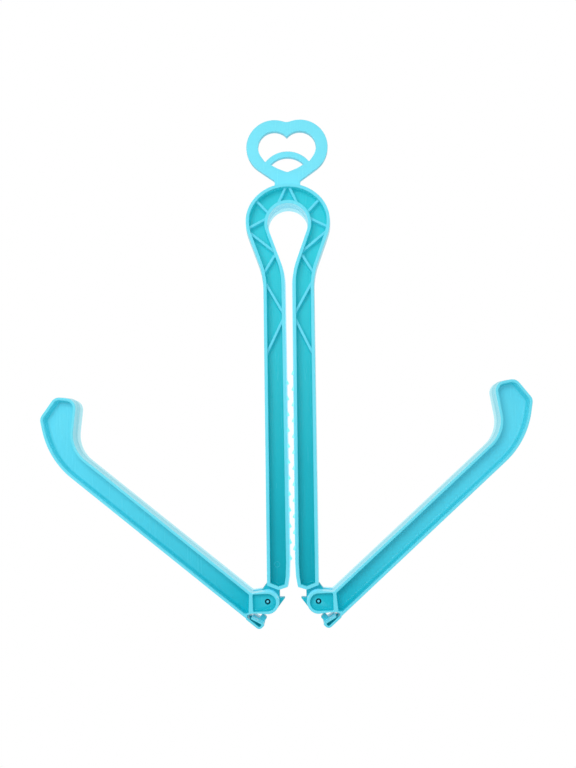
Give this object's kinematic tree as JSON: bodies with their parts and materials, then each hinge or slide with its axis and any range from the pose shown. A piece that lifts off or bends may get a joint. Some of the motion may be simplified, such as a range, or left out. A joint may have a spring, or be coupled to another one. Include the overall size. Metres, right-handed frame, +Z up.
{
  "type": "boot shaper",
  "caption": "Folding boot shaper of turquoise plastic: a keyhole-shaped spring frame with a flat hanging ring, and footed arms hinged to its toothed legs that fold up or latch straight down.",
  "frame": {"origin": "top of the lens-shaped eye in the hanging ring, where a hook carries the part, at mid depth", "axes": "+X to the right across the legs, +Y from the front face to the back, +Z up along the legs towards the ring"},
  "size_m": [0.2835, 0.02, 0.2962],
  "materials": {
    "moulding": "gloss",
    "pin": "gloss"
  },
  "bodies": {
    "crown": {"crown": "moulding"},
    "left_leg": {"left_leg": "moulding"},
    "right_leg": {"right_leg": "moulding"},
    "left_arm": {"left_arm": "moulding", "left_pin": "pin"},
    "right_arm": {"right_arm": "moulding", "right_pin": "pin"},
    "left_latch": {"left_latch": "moulding"},
    "right_latch": {"right_latch": "moulding"}
  },
  "joints": [
    {"name": "left_leg_flex", "type": "hinge", "parent": "crown", "child": "left_leg", "pos_m": [-0.01812, 0, -0.0399], "axis": [0, 1, 0], "range_deg": [-0.12, 4], "stiffness_Nm_per_rad": 40},
    {"name": "right_leg_flex", "type": "hinge", "parent": "crown", "child": "right_leg", "pos_m": [0.01812, 0, -0.0399], "axis": [0, -1, 0], "range_deg": [-0.12, 4], "stiffness_Nm_per_rad": 40},
    {"name": "left_arm_hinge", "type": "hinge", "parent": "left_leg", "child": "left_arm", "pos_m": [-0.0145, 0, -0.2589], "axis": [0, -1, 0], "range_deg": [-42.9, 128.9]},
    {"name": "right_arm_hinge", "type": "hinge", "parent": "right_leg", "child": "right_arm", "pos_m": [0.0145, 0, -0.2589], "axis": [0, 1, 0], "range_deg": [-39.6, 132.2]},
    {"name": "left_latch_flex", "type": "hinge", "parent": "left_arm", "child": "left_latch", "pos_m": [-0.0261, 0, -0.26786], "axis": [0, 1, 0], "range_deg": [0, 8], "stiffness_Nm_per_rad": 0.05},
    {"name": "right_latch_flex", "type": "hinge", "parent": "right_arm", "child": "right_latch", "pos_m": [0.02659, 0, -0.26717], "axis": [0, -1, 0], "range_deg": [0, 8], "stiffness_Nm_per_rad": 0.05}
  ]
}
